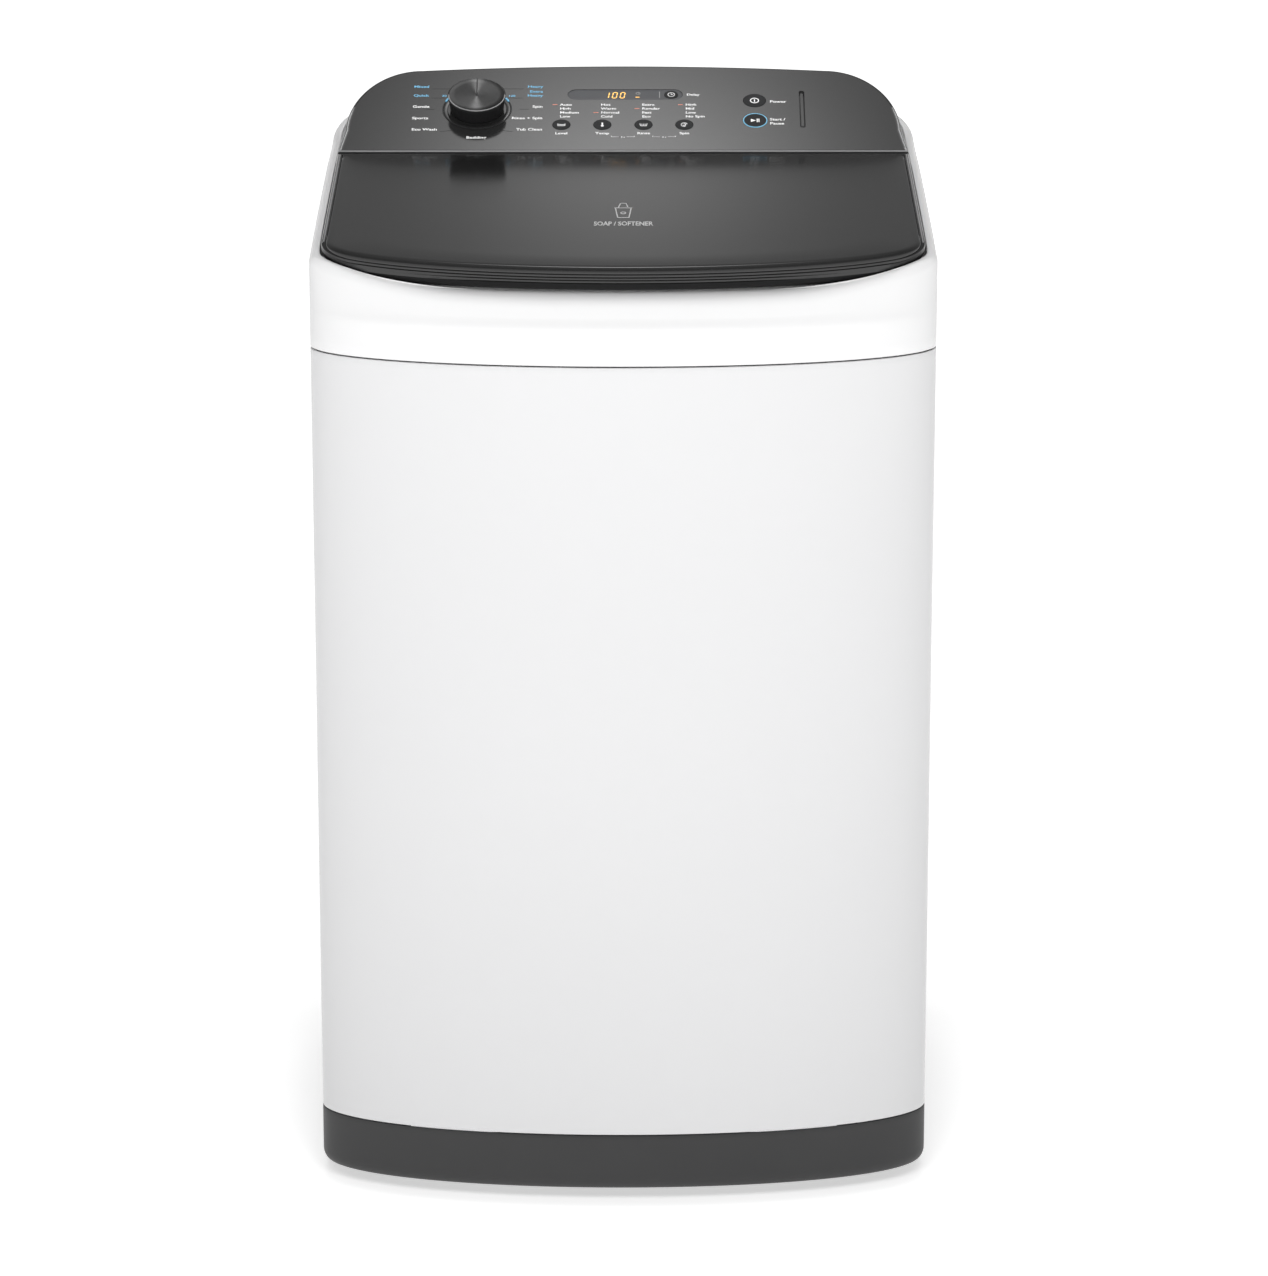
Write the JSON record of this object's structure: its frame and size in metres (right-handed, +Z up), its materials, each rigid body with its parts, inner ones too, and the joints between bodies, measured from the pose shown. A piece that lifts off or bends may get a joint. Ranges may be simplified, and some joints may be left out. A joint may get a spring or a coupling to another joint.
{
  "type": "top load washing machine",
  "caption": "White upright washing machine with a bowed front, a dark hinged lid, a raised sloping control console with knob and keys, a dark base and a suspended wash tub.",
  "frame": {"origin": "on the floor, under the centre of the machine", "axes": "+Z up, front faces -Y, +X to the right of a person standing in front"},
  "size_m": [0.59, 0.6, 1.017],
  "materials": {
    "cabinet_steel": "smooth baked enamel, satin gloss",
    "cover_white": "moulded white plastic, satin gloss",
    "base_grey": "fine-grained dark grey plastic",
    "console_grey": "dark grey metallic satin plastic",
    "lid_grey": "dark grey metallic, glossy",
    "inner_grey": "moulded grey plastic",
    "drawer_white": "moulded white plastic",
    "knob_metal": "dark spun metal face",
    "bezel_grey": "satin ring",
    "button_grey": "dark satin key caps",
    "display_smoke": "smoked display window",
    "electronics": "circuit board and modules",
    "black_plastic": "moulded black plastic",
    "valve_plastic": "white glass-filled plastic",
    "zinc_steel": "zinc-plated steel",
    "spring_steel": "spring steel wire",
    "tub_plastic": "grey-blue moulded plastic",
    "basket_steel": "perforated stainless steel",
    "basket_plastic": "pale grey moulded plastic",
    "motor_metal": "painted steel housings",
    "pulley_alloy": "cast alloy",
    "belt_rubber": "ribbed rubber"
  },
  "bodies": {
    "cabinet": {"cabinet_shell": "cabinet_steel", "rear_panel": "cabinet_steel", "rear_panel_screws": "zinc_steel", "base_plinth": "base_grey", "foot_lock_nuts": "zinc_steel", "top_cover": "cover_white", "hinge_brackets": "zinc_steel", "lid_switch": "black_plastic", "console_body": "console_grey", "console_fascia": "console_grey", "knob_bezel": "bezel_grey", "display_window": "display_smoke", "display_module": "electronics", "groove_insert": "bezel_grey", "control_board": "electronics", "encoder": "electronics", "drain_pump": "black_plastic", "cord_gland": "black_plastic", "pressure_sensor": "black_plastic", "dispenser_housing": "inner_grey", "corner_brackets": "zinc_steel", "suspension_rods": "zinc_steel", "suspension_springs": "spring_steel", "inlet_valve_cold": "valve_plastic", "inlet_valve_hot": "valve_plastic"},
    "lid": {"lid_frame": "lid_grey", "lid_panel": "lid_grey", "lid_liner": "inner_grey", "lid_hinge_knuckles": "zinc_steel", "hinge_pins": "zinc_steel"},
    "drawer": {"dispenser_drawer": "drawer_white"},
    "selector": {"knob": "knob_metal", "knob_shaft": "zinc_steel"},
    "tub": {"outer_tub": "tub_plastic", "tub_cover_ring": "inner_grey", "tub_bearing": "zinc_steel", "drive_frame": "zinc_steel", "gearbox": "motor_metal", "motor": "motor_metal", "drive_belt": "belt_rubber"},
    "basket": {"basket_drum": "basket_steel", "basket_base": "basket_plastic", "balance_ring": "basket_plastic", "lint_filters": "basket_plastic", "spin_shaft": "zinc_steel"},
    "agitator": {"pulsator": "basket_plastic", "wash_shaft": "zinc_steel"},
    "main_pulley": {"drive_pulley": "pulley_alloy"},
    "motor_rotor": {"motor_pulley": "pulley_alloy"},
    "power_button": {"power_button": "button_grey"},
    "start_button": {"start_button": "button_grey"},
    "water_level_button": {"water_level_button": "button_grey"},
    "temperature_button": {"temperature_button": "button_grey"},
    "rinse_button": {"rinse_button": "button_grey"},
    "spin_button": {"spin_button": "button_grey"},
    "delay_button": {"delay_button": "button_grey"},
    "foot_front_left": {"foot_front_left": "black_plastic"},
    "foot_front_right": {"foot_front_right": "black_plastic"},
    "foot_rear_left": {"foot_rear_left": "black_plastic"},
    "foot_rear_right": {"foot_rear_right": "black_plastic"}
  },
  "joints": [
    {"name": "lid_hinge", "type": "hinge", "parent": "cabinet", "child": "lid", "pos_m": [0, 0.1185, 0.949], "axis": [-1, 0, 0], "range_deg": [0, 95]},
    {"name": "drawer_slide", "type": "slide", "parent": "cabinet", "child": "drawer", "axis": [0, -1, 0], "range_m": [0, 0.11]},
    {"name": "selector_turn", "type": "hinge", "parent": "cabinet", "child": "selector", "pos_m": [-0.147, 0.19254, 0.98509], "axis": [0, -0.4147, 0.91], "continuous": true},
    {"name": "tub_float", "type": "slide", "parent": "cabinet", "child": "tub", "axis": [0, 0, 1], "range_m": [-0.025, 0.01], "stiffness_N_per_m": 4000, "springref_m": 0.08711, "deforming": ["suspension_springs"]},
    {"name": "basket_spin", "type": "hinge", "parent": "tub", "child": "basket", "pos_m": [0, -0.03, 0.5], "axis": [0, 0, 1], "continuous": true},
    {"name": "pulley_spin", "type": "hinge", "parent": "tub", "child": "main_pulley", "pos_m": [0, -0.03, 0.133], "axis": [0, 0, 1], "continuous": true},
    {"name": "motor_spin", "type": "hinge", "parent": "tub", "child": "motor_rotor", "pos_m": [0, 0.12, 0.133], "axis": [0, 0, 1], "continuous": true},
    {"name": "agitator_turn", "type": "hinge", "parent": "tub", "child": "agitator", "pos_m": [0, -0.03, 0.3], "axis": [0, 0, 1], "continuous": true},
    {"name": "power_press", "type": "slide", "parent": "cabinet", "child": "power_button", "axis": [0, 0.4147, -0.91], "range_m": [0, 0.0012], "stiffness_N_per_m": 400, "springref_m": -0.002},
    {"name": "start_press", "type": "slide", "parent": "cabinet", "child": "start_button", "axis": [0, 0.4147, -0.91], "range_m": [0, 0.0012], "stiffness_N_per_m": 400, "springref_m": -0.002},
    {"name": "water_level_press", "type": "slide", "parent": "cabinet", "child": "water_level_button", "axis": [0, 0.4147, -0.91], "range_m": [0, 0.0012], "stiffness_N_per_m": 400, "springref_m": -0.002},
    {"name": "temperature_press", "type": "slide", "parent": "cabinet", "child": "temperature_button", "axis": [0, 0.4147, -0.91], "range_m": [0, 0.0012], "stiffness_N_per_m": 400, "springref_m": -0.002},
    {"name": "rinse_press", "type": "slide", "parent": "cabinet", "child": "rinse_button", "axis": [0, 0.4147, -0.91], "range_m": [0, 0.0012], "stiffness_N_per_m": 400, "springref_m": -0.002},
    {"name": "spin_press", "type": "slide", "parent": "cabinet", "child": "spin_button", "axis": [0, 0.4147, -0.91], "range_m": [0, 0.0012], "stiffness_N_per_m": 400, "springref_m": -0.002},
    {"name": "delay_press", "type": "slide", "parent": "cabinet", "child": "delay_button", "axis": [0, 0.4147, -0.91], "range_m": [0, 0.0012], "stiffness_N_per_m": 400, "springref_m": -0.002},
    {"name": "foot_front_left_screw", "type": "slide", "parent": "cabinet", "child": "foot_front_left", "axis": [0, 0, -1], "range_m": [0, 0.012]},
    {"name": "foot_front_right_screw", "type": "slide", "parent": "cabinet", "child": "foot_front_right", "axis": [0, 0, -1], "range_m": [0, 0.012]},
    {"name": "foot_rear_left_screw", "type": "slide", "parent": "cabinet", "child": "foot_rear_left", "axis": [0, 0, -1], "range_m": [0, 0.012]},
    {"name": "foot_rear_right_screw", "type": "slide", "parent": "cabinet", "child": "foot_rear_right", "axis": [0, 0, -1], "range_m": [0, 0.012]}
  ],
  "couplings": [
    {"joint": "motor_spin", "follows": "pulley_spin", "ratio": 3.7273},
    {"joint": "agitator_turn", "follows": "pulley_spin", "ratio": 0.25}
  ]
}
